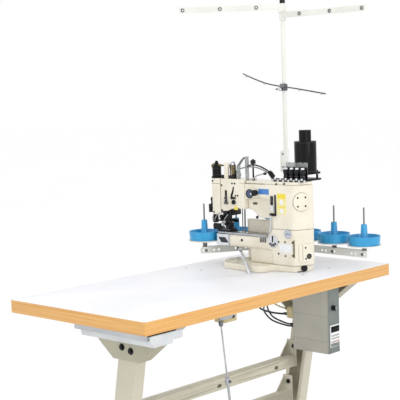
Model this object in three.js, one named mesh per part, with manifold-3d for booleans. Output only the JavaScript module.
// Cylinder-bed flat-seaming overlock machine on its industrial table: head, table, steel stand,
// control box, drawer, treadle and six-cone thread stand. Millimetres, +Z up. The operator
// stands on the -Y side; the sewing arms point towards +Y. Sizes are laid out about the middle
// of the table, and the whole bench is then moved so that the origin is under its middle.
import * as THREE from 'three';
import { mergeVertices } from 'three/addons/utils/BufferGeometryUtils.js';
import Module from 'manifold-3d';

const wasm = await Module();
wasm.setup();

// ---------------------------------------------------------------- driving dimensions
const GAP = 0.3; // clearance between pieces that touch
const ORIGIN = { x: 3.656, y: 55.408 }; // middle of the whole outline, measured from the table's middle

const TABLE = { length: 1200, depth: 600, thick: 40, top: 750, band: 3, corner: 6 };
const UNDER = TABLE.top - TABLE.thick; // underside of the table top

const LEG = { x: 427, wide: 42, deep: 78, wall: 3, lip: 14, lean: 0.185, yRef: -58, zRef: 578 };
LEG.bottom = 76.3;
LEG.top = 640;
const BRACKET = { bottom: 578, halfBottom: 57, halfTop: 222, reach: 50, web: 4, flange: 5 };
const CROSSBAR = { deep: 38, high: 38, wall: 3, gussetRise: 54, gussetRun: 46, plate: 4 };
const FOOT = { half: 250, wide: 40, z0: 30, z1: 76, yMid: 20, padRadius: 20, padHigh: 14 };

const TREADLE = { pivotY: -190, pivotZ: 60, x0: -260, x1: 40, y0: -300, y1: -96, barRadius: 10 };
const ROD = { top: [-236, -250, 684], bottom: [-163, -250, 98], radius: 2.5, lower: 4 };
const SENSOR = { pivotX: -181, z: 692, y: -250 };

const DRAWER = { x0: -572, x1: -468, y0: -284, y1: 16, z0: 668, z1: 701, wall: 2.5, draft: 7 };

const BOX = { x0: 303, x1: 365, y0: -250, y1: -97, z0: 474, z1: UNDER - GAP };

const POLE = { x: 552, y: 115, radius: 8, top: 1696 };
const SPOOL = { tray: 57, trayHigh: 32, postHigh: 72, pinHigh: 132, disc: 60.8, boss: 7.5, pin: 2.8 };
const SPOOL_ARMS = {
  left: { azimuth: 301, z: 796, boss: 22, stations: [78, 200, 322], side: 1 },
  right: { azimuth: 183, z: 788, boss: 16, stations: [88, 222, 357], side: -1 },
};
const GUIDE_ARMS = {
  left: { azimuth: 322, z: 1668.5, stations: [95, 228, 365], side: 1, collar: [1650.5, 1680] },
  right: { azimuth: 184, z: 1638.5, stations: [94, 236, 380], side: -1, collar: [1619, 1650] },
};
const MID_GUIDE = { azimuth: 170, z: 1378 };

const HEAD = { face: 258, back: 346, armEnd: 68, coverSeam: 181, end: 229, split: 895, top: 1048 };
const BASE = { z0: TABLE.top + GAP, z1: 772 };
const CYLINDER = { x0: 258, x1: 322, z0: 820, z1: 863, y0: -62, y1: 149.7 };
const TIP = { y0: 150, y1: 213 };
const NEEDLE = { x: 294, y: 200, radius: 4, tip: 880, top: 1040 };
const PRESSER = { x: 294, y: 166, radius: 4.5 };
const MOTOR = { y: -15, z: 990, radius: 50, x0: 346.3, x1: 424 };
const SOLENOID = { x: 352, y: -131, radius: 38, neck: 21, z0: 1086, z1: 1193, z2: 1231 };
const TENSION = { x: 300, stations: [-86, -110, -134, -158], z: 1058.3 };

// ---------------------------------------------------------------- finishes
const finish = (color, roughness, metalness = 0) =>
  new THREE.MeshStandardMaterial({ color, roughness, metalness });
const FINISH = {
  laminate: finish(0xf3f3f8, 0.35),
  edge: finish(0xe1af69, 0.5),
  stand: finish(0xcdc8b4, 0.5),
  enamel: finish(0xebe4d0, 0.3),
  black: finish(0x101112, 0.4),
  blue: finish(0x2d91cd, 0.35),
  offWhite: finish(0xebebe6, 0.45),
  steel: finish(0xb8bbbf, 0.25, 1),
  chrome: finish(0xdcdfe2, 0.1, 1),
  grey: finish(0xa09e94, 0.5),
  frosted: finish(0xe1e4e8, 0.5),
  beige: finish(0xb8a878, 0.6),
  cable: finish(0x16171a, 0.5),
};

// ---------------------------------------------------------------- solid helpers
function solid(geometry) {
  const bare = geometry.clone();
  bare.deleteAttribute('normal');
  bare.deleteAttribute('uv');
  const merged = mergeVertices(bare, 1e-4);
  const mesh = new wasm.Mesh({
    numProp: 3,
    vertProperties: new Float32Array(merged.attributes.position.array),
    triVerts: new Uint32Array(merged.index.array),
  });
  return new wasm.Manifold(mesh);
}

function surface(manifold) {
  const mesh = manifold.getMesh();
  const geometry = new THREE.BufferGeometry();
  geometry.setAttribute('position', new THREE.BufferAttribute(mesh.vertProperties, 3));
  geometry.setIndex(new THREE.BufferAttribute(mesh.triVerts, 1));
  return geometry;
}

function join(...geometries) {
  return surface(geometries.map(solid).reduce((sum, next) => sum.add(next)));
}

function cut(geometry, ...tools) {
  return surface(tools.map(solid).reduce((rest, tool) => rest.subtract(tool), solid(geometry)));
}

function block(x0, x1, y0, y1, z0, z1) {
  const box = new THREE.BoxGeometry(x1 - x0, y1 - y0, z1 - z0);
  return box.translate((x0 + x1) / 2, (y0 + y1) / 2, (z0 + z1) / 2);
}

function cylinder(axis, a, b, radius, low, high, sides = 28) {
  const shape = new THREE.CylinderGeometry(radius, radius, high - low, sides);
  const middle = (low + high) / 2;
  if (axis === 'x') return shape.rotateZ(Math.PI / 2).translate(middle, a, b);
  if (axis === 'y') return shape.translate(a, middle, b);
  return shape.rotateX(Math.PI / 2).translate(a, b, middle);
}

// A closed outline through the given points with every corner rounded.
function rounded(points, radius) {
  const shape = new THREE.Shape();
  points.forEach((point, i) => {
    const corner = new THREE.Vector2(...point);
    const before = new THREE.Vector2(...points[(i + points.length - 1) % points.length]);
    const after = new THREE.Vector2(...points[(i + 1) % points.length]);
    const reach = Math.min(radius, corner.distanceTo(before) / 2.1, corner.distanceTo(after) / 2.1);
    const start = before.sub(corner).setLength(reach).add(corner);
    const stop = after.sub(corner).setLength(reach).add(corner);
    if (i === 0) shape.moveTo(start.x, start.y);
    else shape.lineTo(start.x, start.y);
    shape.quadraticCurveTo(corner.x, corner.y, stop.x, stop.y);
  });
  shape.closePath();
  return shape;
}

function rectangle(a0, a1, b0, b1, radius) {
  return rounded([[a0, b0], [a1, b0], [a1, b1], [a0, b1]], radius);
}

function outline(points) {
  return new THREE.Shape(points.map(([a, b]) => new THREE.Vector2(a, b)));
}

function extrude(shape, depth, curveSegments = 3) {
  return new THREE.ExtrudeGeometry(shape, { depth, bevelEnabled: false, curveSegments });
}

// An XY outline raised from z0 to z1.
function prismZ(shape, z0, z1, curveSegments) {
  return extrude(shape, z1 - z0, curveSegments).translate(0, 0, z0);
}

// A YZ outline run from x0 to x1.
function prismX(shape, x0, x1, curveSegments) {
  const turn = new THREE.Matrix4().set(0, 0, 1, x0, 1, 0, 0, 0, 0, 1, 0, 0, 0, 0, 0, 1);
  return extrude(shape, x1 - x0, curveSegments).applyMatrix4(turn);
}

// An XZ outline run from y0 to y1.
function prismY(shape, y0, y1, curveSegments) {
  return extrude(shape, y1 - y0, curveSegments).rotateX(Math.PI / 2).translate(0, y1, 0);
}

// A profile of [radius, z] points turned about the Z axis.
function turned(profile, sides = 28) {
  const points = profile.map(([radius, z]) => new THREE.Vector2(radius, z));
  return new THREE.LatheGeometry(points, sides).rotateX(Math.PI / 2);
}

// A round bar along a smooth curve through the points.
function sweep(points, radius, steps, sides = 8) {
  const path = new THREE.CatmullRomCurve3(points.map((p) => new THREE.Vector3(...p)), false, 'centripetal');
  const section = new THREE.Shape();
  for (let i = 0; i < sides; i += 1) {
    const angle = (i / sides) * 2 * Math.PI;
    const corner = [radius * Math.cos(angle), radius * Math.sin(angle)];
    if (i === 0) section.moveTo(...corner);
    else section.lineTo(...corner);
  }
  section.closePath();
  return new THREE.ExtrudeGeometry(section, { steps, extrudePath: path, bevelEnabled: false });
}

// A straight round bar between two points.
function bar(from, to, radius, sides = 12) {
  const start = new THREE.Vector3(...from);
  const along = new THREE.Vector3(...to).sub(start);
  const shape = new THREE.CylinderGeometry(radius, radius, along.length(), sides);
  const turn = new THREE.Quaternion().setFromUnitVectors(new THREE.Vector3(0, 1, 0), along.clone().normalize());
  return shape.applyQuaternion(turn).translate(...start.addScaledVector(along, 0.5).toArray());
}

// ---------------------------------------------------------------- table
function tableTop() {
  const halfX = TABLE.length / 2 - TABLE.band - GAP;
  const halfY = TABLE.depth / 2 - TABLE.band - GAP;
  const board = prismZ(rectangle(-halfX, halfX, -halfY, halfY, TABLE.corner - TABLE.band), UNDER, TABLE.top);
  const wasteHole = cylinder('z', 178, -11, 10, UNDER - 1, TABLE.top + 1, 20);
  const cableHole = cylinder('z', 400, 130, 20, UNDER - 1, TABLE.top + 1);
  return cut(board, wasteHole, cableHole);
}

function edgeBand() {
  const halfX = TABLE.length / 2;
  const halfY = TABLE.depth / 2;
  const inset = TABLE.band;
  const outer = prismZ(rectangle(-halfX, halfX, -halfY, halfY, TABLE.corner), UNDER, TABLE.top, 6);
  const inner = rectangle(-halfX + inset, halfX - inset, -halfY + inset, halfY - inset, TABLE.corner - inset);
  return cut(outer, prismZ(inner, UNDER - 1, TABLE.top + 1));
}

// ---------------------------------------------------------------- stand
const legMiddle = (z) => LEG.yRef + (LEG.zRef - z) * LEG.lean;

// A lipped channel, open towards the middle of the table, that leans back as it goes down.
function upright(side) {
  const half = LEG.deep / 2;
  const outer = block(0, LEG.wide, -half, half, LEG.bottom, LEG.top);
  const hollow = block(LEG.wall + 0.01, LEG.wide - LEG.wall, LEG.wall - half, half - LEG.wall, 0, 800);
  const mouth = block(LEG.wide - LEG.wall - 1, LEG.wide + 1, LEG.lip - half, half - LEG.lip, 0, 800);
  const channel = cut(outer, hollow, mouth);
  const lean = new THREE.Matrix4().set(
    side, 0, 0, -side * (LEG.x + LEG.wide / 2),
    0, 1, -LEG.lean, legMiddle(0),
    0, 0, 1, 0,
    0, 0, 0, 1,
  );
  const placed = channel.applyMatrix4(lean);
  return side < 0 ? flipFaces(placed) : placed;
}

// A mirrored surface turned right side out again.
function flipFaces(geometry) {
  const index = geometry.index.array;
  for (let i = 0; i < index.length; i += 3) {
    [index[i], index[i + 1]] = [index[i + 1], index[i]];
  }
  return geometry;
}

// A folded bracket with a web outside and flanges above and along both slopes.
function legBracket(side) {
  const trapezoid = (inset, bottom) => {
    const top = UNDER - GAP - inset;
    const slope = (BRACKET.halfTop - BRACKET.halfBottom) / (UNDER - BRACKET.bottom);
    const half = (z) => BRACKET.halfBottom + (z - BRACKET.bottom) * slope - inset * 1.3;
    return outline([
      [LEG.yRef - half(bottom), bottom],
      [LEG.yRef + half(bottom), bottom],
      [LEG.yRef + half(top), top],
      [LEG.yRef - half(top), top],
    ]);
  };
  const outerX = LEG.x + LEG.wide / 2 + GAP + BRACKET.web;
  const inner = outerX - BRACKET.web;
  const far = outerX - BRACKET.reach;
  const [shellLow, shellHigh] = side < 0 ? [far, outerX] : [-outerX, -far];
  const [hollowLow, hollowHigh] = side < 0 ? [far - 1, inner] : [-inner, -far + 1];
  const shell = prismX(trapezoid(0, BRACKET.bottom), shellLow, shellHigh);
  return cut(shell, prismX(trapezoid(BRACKET.flange, BRACKET.bottom - 1), hollowLow, hollowHigh));
}

function foot(side) {
  const x = -side * LEG.x;
  const half = FOOT.wide / 2;
  const tube = prismX(rectangle(FOOT.yMid - FOOT.half, FOOT.yMid + FOOT.half, FOOT.z0, FOOT.z1, 8), x - half, x + half);
  const pads = [FOOT.yMid - FOOT.half + 30, FOOT.yMid + FOOT.half - 30].map((y) =>
    turned([[0, 0], [FOOT.padRadius, 0], [FOOT.padRadius, 8], [9, FOOT.padHigh], [6, FOOT.padHigh], [6, 34], [0, 34]], 16)
      .translate(x, y, 0));
  return join(tube, ...pads);
}

// A channel between the uprights with a triangular gusset and a bolting plate at each end.
function crossbar(zTop, yRear, slots) {
  const end = LEG.x - LEG.wide / 2 - GAP;
  const yFront = yRear - CROSSBAR.deep;
  const zLow = zTop - CROSSBAR.high;
  const shell = block(-end, end, yFront, yRear, zLow, zTop);
  const hollow = block(-end - 1, end + 1, yFront + CROSSBAR.wall, yRear - CROSSBAR.wall, zLow - 1, zTop - CROSSBAR.wall);
  const openings = slots.map((x) =>
    prismY(rectangle(x - 11, x + 11, zLow + 9, zLow + 21, 5), yFront - 1, yFront + CROSSBAR.wall + 1));
  const ends = [-1, 1].flatMap((s) => {
    const plate = CROSSBAR.plate;
    const face = s > 0 ? [end - plate, end] : [-end, plate - end];
    const gusset = prismY(outline(s > 0
      ? [[end - plate - CROSSBAR.gussetRun, zTop - 1], [end - 1, zTop - 1], [end - 1, zTop + CROSSBAR.gussetRise]]
      : [[plate + CROSSBAR.gussetRun - end, zTop - 1], [1 - end, zTop + CROSSBAR.gussetRise], [1 - end, zTop - 1]]),
    yRear - 6, yRear - 1);
    return [block(...face, yFront - 1.5, yRear + 1.5, zLow - 1.5, zTop + CROSSBAR.gussetRise + 1.5), gusset];
  });
  return join(cut(shell, hollow, ...openings), ...ends);
}

// ---------------------------------------------------------------- treadle and speed sensor
function treadleBar() {
  const end = LEG.x - FOOT.wide / 2 - GAP;
  return cylinder('x', TREADLE.pivotY, TREADLE.pivotZ, TREADLE.barRadius, -end, end, 20);
}

function treadle() {
  const { x0, x1, y0, y1, pivotY, pivotZ } = TREADLE;
  const plate = prismZ(rectangle(x0, x1, y0, y1, 18), 82, 88);
  const skirt = prismZ(rectangle(x0, x1, y0, y1, 18), 74, 88);
  const underside = prismZ(rectangle(x0 + 5, x1 - 5, y0 + 5, y1 - 5, 14), 73, 82.5);
  const lugs = [x0 + 40, x1 - 40].map((x) => {
    const lug = prismX(rectangle(pivotY - 17, pivotY + 17, pivotZ - 17, 84, 10), x - 12, x + 12);
    return cut(lug, cylinder('x', pivotY, pivotZ, TREADLE.barRadius + 0.5, x - 20, x + 20, 24));
  });
  const hook = cylinder('z', ROD.bottom[0], ROD.bottom[1], 9, 87, 94, 20);
  return join(plate, cut(skirt, underside), ...lugs, hook);
}

function pullRod() {
  const top = new THREE.Vector3(...ROD.top);
  const bottom = new THREE.Vector3(...ROD.bottom);
  const at = (t) => bottom.clone().lerp(top, t).toArray();
  const thin = bar(at(0.4), at(1), ROD.radius);
  const thick = bar(at(0), at(0.68), ROD.lower);
  const clamp = bar(at(0.655), at(0.695), 8, 16);
  return join(thin, thick, clamp);
}

function pedalSensor() {
  return join(
    prismZ(rectangle(SENSOR.pivotX - 30, SENSOR.pivotX + 28, -244, -200, 4), 672, UNDER - GAP),
    cylinder('y', SENSOR.pivotX, SENSOR.z - 4, 6, -252, -240, 20),
  );
}

function sensorLever() {
  const { pivotX, z, y } = SENSOR;
  const arm = prismY(rectangle(ROD.top[0] - 7, pivotX + 10, z - 5, z + 4, 3), y - 5, y + 1.5);
  return cut(arm, cylinder('y', pivotX, z - 4, 6.5, y - 8, y + 8, 20));
}

// ---------------------------------------------------------------- drawer
function drawerRunner() {
  const { x0, x1, y0, y1 } = DRAWER;
  const front = y0 + 1;
  const plate = block(x0 - 8, x1 + 8, front, y1 + 8, 706, UNDER - GAP);
  const sides = [block(x0 - 8, x0 - 5, front, y1 + 8, 690, 707), block(x1 + 5, x1 + 8, front, y1 + 8, 690, 707)];
  const lips = [block(x0 - 6, x0 + 2.5, front, y1 + 8, 690, 693), block(x1 - 2.5, x1 + 6, front, y1 + 8, 690, 693)];
  const stop = block(x0 - 8, x1 + 8, y1 + 5, y1 + 8, 690, 707);
  return join(plate, ...sides, ...lips, stop);
}

// A tapered, open-topped tray with a hanging rim on both sides and a wider front.
function drawerTray() {
  const { x0, x1, y0, y1, z0, z1, wall, draft } = DRAWER;
  const rim = 6;
  const profile = (inset, floor, top) => outline([
    [x0 + rim + draft + inset, floor],
    [x1 - rim - draft - inset, floor],
    [x1 - rim - inset, top],
    [x0 + rim + inset, top],
  ]);
  const shell = prismY(profile(0, z0, z1), y0, y1);
  const inside = prismY(profile(wall, z0 + wall, z1 + 0.5), y0 + wall, y1 - wall);
  const rims = [block(x0, x0 + rim + 1, y0, y1, z1 - 3, z1), block(x1 - rim - 1, x1, y0, y1, z1 - 3, z1)];
  const front = prismY(rectangle(x0 + 2, x1 + 28, 678, 702, 4), y0 - 4, y0 + 0.5);
  const lowFront = prismY(profile(0, z0, z1), y0 - 4, y0 + 0.5);
  return join(cut(shell, inside), ...rims, front, lowFront);
}

// ---------------------------------------------------------------- control box
function controlBox() {
  const body = prismZ(rectangle(BOX.x0, BOX.x1, BOX.y0, BOX.y1, 3), BOX.z0, BOX.z1);
  const connectors = block(318, 352, BOX.y1 - 1, -62, 576, 614);
  const collars = [block(322, 348, -63, -56, 596, 610), cylinder('y', 330, 587, 7, -63, -54, 20)];
  return join(body, connectors, ...collars);
}

function controlPanel() {
  return prismY(rectangle(BOX.x0 + 7, BOX.x1 - 4, 496, 572, 3), BOX.y0 - 4, BOX.y0 - GAP);
}

function powerKnob() {
  const grip = cylinder('y', 328, 631, 9, BOX.y0 - 10, BOX.y0 - GAP, 24);
  const ridge = block(326, 330, BOX.y0 - 15, BOX.y0 - 9, 623, 639);
  return join(grip, ridge);
}

const CABLE_MOTOR = [
  [330, -53.6, 587], [330, -30, 585], [332, 25, 584], [338, 80, 592], [356, 116, 622], [384, 130, 668],
  [398, 131, 708], [401, 129, 750], [401, 120, 800], [398, 88, 850], [391, 40, 888], [387, 2, 906], [386, -10, 922], [386, -10, 933.6],
];
const CABLE_SENSOR = [
  [340, -55.6, 603], [340, -35, 604], [339, 5, 612], [325, 45, 645], [286, 62, 684], [220, 50, 698], [100, 5, 701],
  [-20, -60, 701], [-110, -130, 700], [-160, -165, 696], [-177, -184, 691], [-178, -192, 690], [-178, -199.5, 690],
];

// ---------------------------------------------------------------- thread stand
function poleBase() {
  const { x, y, radius } = POLE;
  const flange = cylinder('z', x, y, 30, TABLE.top + GAP, 757);
  const socket = cylinder('z', x, y, 14, 756, 773);
  return cut(join(flange, socket), cylinder('z', x, y, radius + GAP, 757, 790, 20));
}

function threadPole() {
  const { x, y, radius, top } = POLE;
  const tube = cylinder('z', x, y, radius, 757.4, top, 20);
  const coupling = cylinder('z', x, y, 13, 1064, 1145, 20);
  const cap = cylinder('z', x, y, 9.5, 1682, top + 1, 20);
  return join(tube, coupling, cap);
}

// Turns a piece made along +X about the pole so that it points along an azimuth.
function aboutPole(geometry, azimuth, z = 0) {
  return geometry.rotateZ(THREE.MathUtils.degToRad(90 - azimuth)).translate(POLE.x, POLE.y, z);
}

function collar(low, high, radius = 13) {
  const ring = cylinder('z', 0, 0, radius, low, high, 20);
  return cut(ring, cylinder('z', 0, 0, POLE.radius + 0.4, low - 1, high + 1, 20));
}

function guideArm({ azimuth, z, stations, side, collar: [low, high] }) {
  const end = stations[stations.length - 1] + 14;
  const webY = side * 12;
  const web = prismY(rectangle(10.5, end, -10.5, 10.5, 5), webY - 1.2, webY + 1.2);
  const lip = prismZ(rectangle(10.5, end, Math.min(webY, webY - side * 10), Math.max(webY, webY - side * 10), 0.5), 8.5, 10.5);
  const rings = stations.map((d) => cylinder('y', d, 0, 5.5, webY - 3, webY + 3, 10));
  const eyes = stations.map((d) => cylinder('y', d, 0, 3.2, webY - 6, webY + 6, 8));
  const clamp = cut(block(-4, 16, side > 0 ? 2 : -13, side > 0 ? 13 : -2, low - z, high - z),
    cylinder('z', 0, 0, POLE.radius + 0.4, low - z - 1, high - z + 1, 20));
  return aboutPole(join(cut(join(web, lip, ...rings), ...eyes), collar(low - z, high - z), clamp), azimuth, z);
}

// A channel arm on a pole collar, with a boss, a round plate and an upright pin at each station.
function spoolArm({ azimuth, z, boss, stations, side }, [low, high]) {
  const end = stations[stations.length - 1] + 22;
  const near = side > 0 ? [10, 12.5] : [-12.5, -10];
  const web = prismY(rectangle(14, end, -12, 12, 11), ...near);
  const top = block(14, end - 12, -12.5, 12.5, 9.5, 12);
  const holes = stations.flatMap((d) => [d - 48, d - 30, d + 9])
    .filter((d) => d > 30)
    .map((d) => cylinder('y', d, -1, 4, near[0] - 2, near[1] + 2, 8));
  const pins = stations.map((d) =>
    turned([[0, 11], [SPOOL.boss, 11], [SPOOL.boss, 6 + boss], [22, 6 + boss], [SPOOL.disc - 1.5, 12.5 + boss],
      [SPOOL.disc, 16 + boss], [SPOOL.pin, 16 + boss], [SPOOL.pin, 16 + boss + SPOOL.pinHigh],
      [0, 16 + boss + SPOOL.pinHigh]], 16).translate(d, 0, 0));
  const tongue = block(9.5, 20, -8, 8, Math.max(low - z, -12), 12);
  return aboutPole(join(cut(join(web, top, tongue), ...holes), collar(low - z, high - z, 13.5), ...pins), azimuth, z);
}

// A cone tray: a shallow dish with a hollow tapered post in the middle.
function spoolTray({ azimuth, z, boss }, distance) {
  const { tray, trayHigh, postHigh, pin } = SPOOL;
  const bore = pin + 0.5;
  const dish = turned([
    [bore, 0], [tray - 3, 0], [tray, trayHigh], [tray - 3, trayHigh], [tray - 6, 4],
    [14, 4], [10.3, postHigh], [bore, postHigh], [bore, 0],
  ], 20);
  return aboutPole(dish.translate(distance, 0, 16 + boss + GAP), azimuth, z);
}

function midGuide() {
  const offset = -14;
  const rod = sweep([
    [-166, offset, 53], [-120, offset, 33], [-70, offset, 15], [-40, offset, 8], [0, offset, 1],
    [60, offset, -8], [120, offset, -19], [176, offset, -29],
  ], 2.6, 14);
  const clamp = block(-9, 9, -17.5, -6, -12, 12);
  const bore = cylinder('z', 0, 0, POLE.radius + 0.4, -30, 30, 20);
  const screw = cylinder('x', -3, -8, 3, -34, 4, 14);
  return aboutPole(join(rod, cut(join(clamp, collar(-14, 10, 12), screw), bore)), MID_GUIDE.azimuth, MID_GUIDE.z);
}

// ---------------------------------------------------------------- sewing head, fixed pieces
function basePlate() {
  const plan = rounded([[300, 180], [256, 172], [206, 128], [202, 60], [193, -24], [198, -47], [256, -60],
    [264, -140], [328, -166], [354, -160], [354, 60], [344, 172]], 14);
  const slots = [[245, 120], [247, 7]].map(([x, y]) => prismZ(rectangle(x - 5, x + 5, y - 13, y + 13, 4), 760, 780));
  return cut(prismZ(plan, BASE.z0, BASE.z1), ...slots);
}

const columnPlan = (grow) => rounded([
  [HEAD.face - grow, -48 + grow], [HEAD.face - grow, -148 - grow], [328, -178 - grow],
  [HEAD.back + grow, -166 - grow], [HEAD.back + grow, -48 + grow]], 9);

function bedCasting() {
  const low = BASE.z1 + GAP;
  const column = prismZ(columnPlan(0), low, HEAD.split, 5);
  const pedestal = prismZ(rounded([[264, -90], [340, -90], [340, 50], [330, 62], [276, 62], [264, 50]], 12), low, 832);
  const arm = prismY(rectangle(CYLINDER.x0, CYLINDER.x1, CYLINDER.z0, CYLINDER.z1, 12), CYLINDER.y0 - 30, CYLINDER.y1);
  const neck = prismX(rounded([[-90, 822], [-22, 822], [-30, 868], [-52, HEAD.split], [-90, HEAD.split]], 10), HEAD.face, 338);
  const rear = prismZ(rounded([[318, -90], [348, -90], [348, 100], [338, 118], [326, 118], [318, 108]], 8), low, 880);
  const rearTop = prismZ(rounded([[318, -46], [348, -46], [348, 100], [338, 118], [326, 118], [318, 108]], 8), 870, 915);
  return join(column, pedestal, arm, neck, rear, rearTop);
}

function headCasting() {
  const column = prismZ(columnPlan(0), HEAD.split + GAP, HEAD.top, 5);
  const neck = prismX(rounded([[-90, HEAD.top], [-90, 928], [10, 928], [24, 932], [35, 945], [48, 954],
    [HEAD.armEnd, 957], [HEAD.armEnd, HEAD.top]], 5), 275, 334);
  const face = prismX(rounded([[-90, HEAD.top], [-90, 990], [-44, 996], [0, 1002], [36, 998],
    [HEAD.armEnd, 990], [HEAD.armEnd, HEAD.top]], 5), HEAD.face, 334);
  const motorFlange = cylinder('x', MOTOR.y, MOTOR.z, 46, 330, HEAD.back, 32);
  return join(column, neck, face, motorFlange);
}

function needleHousing() {
  const y0 = HEAD.armEnd + GAP;
  const y1 = HEAD.coverSeam - GAP;
  const body = prismX(outline([[y0, 957], [96, 960], [132, 955], [148, 948], [y1, 945], [y1, 1062], [y0, 1062]]),
    HEAD.face, 330);
  const lugs = [[950, 962], [1000, 1014]].map(([low, high]) =>
    block(NEEDLE.x - 13, NEEDLE.x + 13, y1 - 1, NEEDLE.y + 11, low, high));
  const needleBore = cylinder('z', NEEDLE.x, NEEDLE.y, NEEDLE.radius + 0.3, 900, 1100, 20);
  const presserBore = cylinder('z', PRESSER.x, PRESSER.y, PRESSER.radius + 0.3, 900, 1052, 20);
  const takeUpBoss = prismX(rounded([[106, 1061], [134, 1061], [130, 1084], [110, 1084]], 3), 276, 283.5);
  const takeUpPin = cylinder('x', 120, 1075, 3, 280, 298, 16);
  return cut(join(body, ...lugs, takeUpBoss, takeUpPin), needleBore, presserBore);
}

// A half-round shell over the needle bar, open at the bottom and towards the housing.
function faceCover() {
  const y0 = HEAD.coverSeam;
  const y1 = HEAD.end;
  const plan = (inset) => {
    const low = HEAD.face + inset;
    const high = 330 - inset;
    const shape = new THREE.Shape();
    shape.moveTo(low, y0 - inset);
    shape.lineTo(high, y0 - inset);
    shape.lineTo(high, y1 - 18);
    shape.quadraticCurveTo(high, y1 - inset, high - 18, y1 - inset);
    shape.lineTo(low + 16, y1 - inset);
    shape.quadraticCurveTo(low, y1 - inset, low, y1 - 18);
    shape.closePath();
    return shape;
  };
  return cut(prismZ(plan(0), 932, 1062, 6), prismZ(plan(3.5), 931, 1057, 6));
}

function topCover() {
  const column = prismZ(columnPlan(-3), HEAD.top + GAP, 1058, 5);
  const arm = prismZ(rectangle(262, 332, -80, HEAD.armEnd - 2, 6), HEAD.top + GAP, 1058);
  return join(column, arm);
}

// Flat covers on the angled end face, which runs from (258,-148) to (328,-178).
const END_ANGLE = Math.atan2(-30, 70);
const END_MIDDLE = [286, -160];

function onEndFace(geometry, z) {
  const [x, y] = END_MIDDLE;
  const out = GAP + 0.1;
  return geometry.rotateZ(END_ANGLE).translate(x + out * Math.sin(END_ANGLE), y - out * Math.cos(END_ANGLE), z);
}

const endCover = () => onEndFace(cylinder('y', 0, 0, 31, -2.5, 0, 36), 991);
const lowerCover = () => onEndFace(prismY(rectangle(-14, 36, -33, 30, 12), -3, 0), 818);

function throatPlate() {
  const plate = prismZ(rectangle(CYLINDER.x0 + 6, CYLINDER.x1 - 6, -24, 209, 8), CYLINDER.z1 + GAP, 870);
  return cut(plate, block(NEEDLE.x - 14, NEEDLE.x + 14, NEEDLE.y - 5, NEEDLE.y + 4.5, 850, 880));
}

function looperBlock() {
  const body = prismZ(rectangle(CYLINDER.x0 + 6, CYLINDER.x1 - 6, TIP.y0, TIP.y1 - 5, 11), 828, CYLINDER.z1);
  return cut(body, block(NEEDLE.x - 15, NEEDLE.x + 15, NEEDLE.y - 8, NEEDLE.y + 8, 842, 870));
}

function wasteTube() {
  return sweep([[251, 92, 816], [240, 78, 812], [224, 56, 801], [206, 31, 787], [190, 8, 774], [181, -6, 760],
    [178, -11, 744], [178, -11, 700]], 5.5, 16, 10);
}

function airCylinder() {
  return turned([[0, 1062.3], [20, 1062.3], [20, 1067], [16, 1068], [16, 1102], [13, 1104], [13, 1108], [7, 1112],
    [7, 1117], [0, 1119]], 16).translate(276, 212, 0);
}

function motorHousing() {
  const { y, z, radius, x0, x1 } = MOTOR;
  const body = cylinder('x', y, z, radius, x0, x1, 40);
  const gland = cylinder('z', 386, y + 5, 8, 934, 960, 20);
  const bore = cylinder('x', y, z, 8.4, x1 - 20, x1 + 5, 24);
  return cut(join(body, gland), bore);
}

function solenoid() {
  const { x, y, radius, neck, z0, z1, z2 } = SOLENOID;
  const footPlate = prismZ(rectangle(314, 394, y - 36, y + 36, 5), 1058.3, 1065);
  const posts = [[324, -1], [324, 1], [384, -1], [384, 1]].map(([px, s]) => cylinder('z', px, y + s * 24, 4, 1064, z0 + 6, 12));
  const can = cylinder('z', x, y, radius, z0, z1, 32);
  const flange = prismZ(rectangle(x - 37, x + 40, y - 36, y + 36, 8), z0 - 6, z0 + 1);
  return join(footPlate, ...posts, flange, can, cylinder('z', x, y, neck, z1 - 1, z2, 24));
}

function tensionRail() {
  const { x, stations, z } = TENSION;
  const first = stations[stations.length - 1] - 12;
  const rail = block(x - 12, x + 12.3, first, -40, z, z + 5);
  const posts = stations.map((y) =>
    turned([[0, z + 4], [8.5, z + 4], [8.5, z + 10], [4, z + 10.5], [4, z + 14], [9.5, z + 14], [9.5, z + 17.5], [3, z + 17.5],
      [3, z + 24], [0, z + 24]], 10).translate(x, y, 0));
  const guide = block(x + 10.5, x + 12.3, first, -72, z + 1, z + 48);
  return join(rail, guide, ...posts);
}

// ---------------------------------------------------------------- sewing head, moving pieces
function needleBar() {
  const { x, y, radius, tip, top } = NEEDLE;
  const rod = cylinder('z', x, y, radius, 918, top, 20);
  const clamp = prismZ(rectangle(x - 12, x + 12, y - 7, y + 7, 3), 906, 924);
  const needles = [-9, -3, 3, 9].map((dx) =>
    turned([[0, tip], [0.9, tip + 5], [0.9, 896], [1.3, 898], [1.3, 908], [0, 908]], 6).translate(x + dx, y, 0));
  return join(rod, clamp, ...needles);
}

function presserFoot() {
  const { x, y, radius } = PRESSER;
  const rod = cylinder('z', x, y, radius, 890, 1036, 20);
  const shank = block(x - 7, x + 7, y - 8, y + 8, 880, 902);
  const sole = prismZ(rectangle(x - 20, x + 20, y - 14, 218, 5), 870.4, 875);
  const bridge = block(x - 16, x + 16, y - 9, y + 9, 874, 881);
  const toe = prismX(outline([[206, 874], [218, 874], [222, 884], [219, 885]]), x - 18, x + 18);
  const slot = block(x - 13, x + 13, NEEDLE.y - 6, NEEDLE.y + 6, 860, 890);
  return cut(join(rod, shank, sole, bridge, toe), slot);
}

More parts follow.
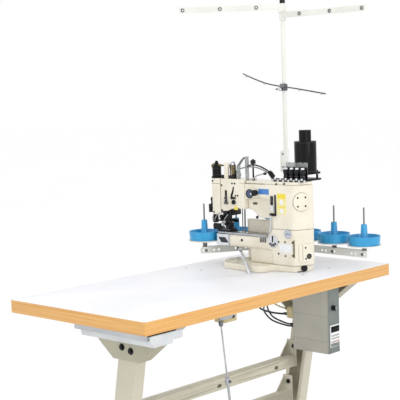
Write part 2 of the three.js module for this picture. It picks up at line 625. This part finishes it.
// The hinged cover round the arm's tip, with a slanted window in its side.
function looperCover() {
  const { x0, x1 } = CYLINDER;
  const shell = (inset) => rounded([[x0 - 1 + inset, TIP.y0 - inset * 2], [x1 + 1 - inset, TIP.y0 - inset * 2],
    [x1 + 1 - inset, TIP.y1 - inset], [x0 - 1 + inset, TIP.y1 - inset]], 14);
  const hollow = prismZ(shell(3.5), 800, 900, 6);
  const farSide = block(x0 + 17, x1 + 5, 140, TIP.y1 + 5, 800, 900);
  const window = prismX(outline([[151.5, 833], [184, 833], [197, 852], [163, 852]]), x0 - 10, x0 + 10);
  return cut(prismZ(shell(0), 823, CYLINDER.z1 - GAP, 6), hollow, farSide, window);
}

function takeUp() {
  const arm = prismX(rounded([[112, 1070], [124, 1066], [170, 1104], [172, 1112], [164, 1114], [118, 1082]], 4), 287, 292);
  return cut(join(arm, cylinder('x', 120, 1075, 8, 284, 295, 24)), cylinder('x', 120, 1075, 3.5, 280, 300, 16));
}

function liftLever() {
  const hub = cylinder('y', 272, 985, 8, HEAD.end + GAP, 236, 24);
  const arm = prismY(rounded([[267, 985], [277, 985], [271, 962], [264, 962]], 3), 231, 235.5);
  const grip = block(259, 271, 229.8, 241, 938, 968);
  return join(hub, arm, grip);
}

function tensionKnob(y) {
  const { x, z } = TENSION;
  const profile = [[3.4, z + 18], [9, z + 18], [7.5, z + 24], [9.5, z + 26], [9.5, z + 38], [7.5, z + 40.5], [0, z + 40.5],
    [0, z + 25], [3.4, z + 25], [3.4, z + 18]];
  return turned(profile, 12).translate(x, y, 0);
}

function handwheel() {
  const { y, z, x1 } = MOTOR;
  const wheel = turned([[0, 0], [50, 0], [54, 3], [54, 17], [50, 20], [46, 20], [44, 10], [18, 10], [16, 22], [0, 22]], 28)
    .rotateY(Math.PI / 2).translate(x1 + GAP, y, z);
  return join(wheel, cylinder('x', y, z, 8, x1 - 18, x1 + 5, 24));
}

// ---------------------------------------------------------------- assembly
const bench = new THREE.Group();
bench.position.set(-ORIGIN.x, -ORIGIN.y, 0);

function add(name, geometry, material) {
  const mesh = new THREE.Mesh(geometry, material);
  mesh.name = name;
  bench.add(mesh);
}

add('table_top', tableTop(), FINISH.laminate);
add('edge_band', edgeBand(), FINISH.edge);
for (const [name, side] of [['left', 1], ['right', -1]]) {
  add(`leg_bracket_${name}`, legBracket(side), FINISH.stand);
  add(`upright_${name}`, upright(side), FINISH.stand);
  add(`foot_${name}`, foot(side), FINISH.stand);
}
add('upper_crossbar', crossbar(421, 10, [-292, -7, 292]), FINISH.stand);
add('lower_crossbar', crossbar(288, 32, []), FINISH.stand);
add('treadle_bar', treadleBar(), FINISH.stand);
add('treadle', treadle(), FINISH.black);
add('pull_rod', pullRod(), FINISH.steel);
add('pedal_sensor', pedalSensor(), FINISH.beige);
add('sensor_lever', sensorLever(), FINISH.steel);
add('drawer_runner', drawerRunner(), FINISH.steel);
add('drawer_tray', drawerTray(), FINISH.frosted);

add('control_box', controlBox(), FINISH.grey);
add('control_panel', controlPanel(), FINISH.black);
add('power_knob', powerKnob(), FINISH.black);
add('cable_motor', sweep(CABLE_MOTOR, 3.5, 26), FINISH.cable);
add('cable_sensor', sweep(CABLE_SENSOR, 3, 24), FINISH.beige);

add('pole_base', poleBase(), FINISH.offWhite);
add('thread_pole', threadPole(), FINISH.offWhite);
add('mid_guide', midGuide(), FINISH.steel);
const COLLARS = { left: [800.5, 822], right: [777, 800] };
for (const side of ['left', 'right']) {
  add(`guide_arm_${side}`, guideArm(GUIDE_ARMS[side]), FINISH.offWhite);
  add(`spool_arm_${side}`, spoolArm(SPOOL_ARMS[side], COLLARS[side]), FINISH.offWhite);
  SPOOL_ARMS[side].stations.forEach((distance, i) => {
    add(`spool_tray_${side}_${i + 1}`, spoolTray(SPOOL_ARMS[side], distance), FINISH.blue);
  });
}

add('base_plate', basePlate(), FINISH.enamel);
add('bed_casting', bedCasting(), FINISH.enamel);
add('head_casting', headCasting(), FINISH.enamel);
add('needle_housing', needleHousing(), FINISH.enamel);
add('face_cover', faceCover(), FINISH.enamel);
add('top_cover', topCover(), FINISH.enamel);
add('end_cover', endCover(), FINISH.enamel);
add('lower_cover', lowerCover(), FINISH.enamel);
add('throat_plate', throatPlate(), FINISH.steel);
add('looper_block', looperBlock(), FINISH.black);
add('looper_cover', looperCover(), FINISH.chrome);
add('waste_tube', wasteTube(), FINISH.chrome);
add('air_cylinder', airCylinder(), FINISH.black);
add('motor_housing', motorHousing(), FINISH.black);
add('handwheel', handwheel(), FINISH.black);
add('solenoid', solenoid(), FINISH.black);
add('tension_rail', tensionRail(), FINISH.steel);
TENSION.stations.forEach((y, i) => add(`tension_knob_${i + 1}`, tensionKnob(y), FINISH.black));
add('needle_bar', needleBar(), FINISH.steel);
add('presser_foot', presserFoot(), FINISH.steel);
add('take_up', takeUp(), FINISH.steel);
add('lift_lever', liftLever(), FINISH.black);

export default bench;
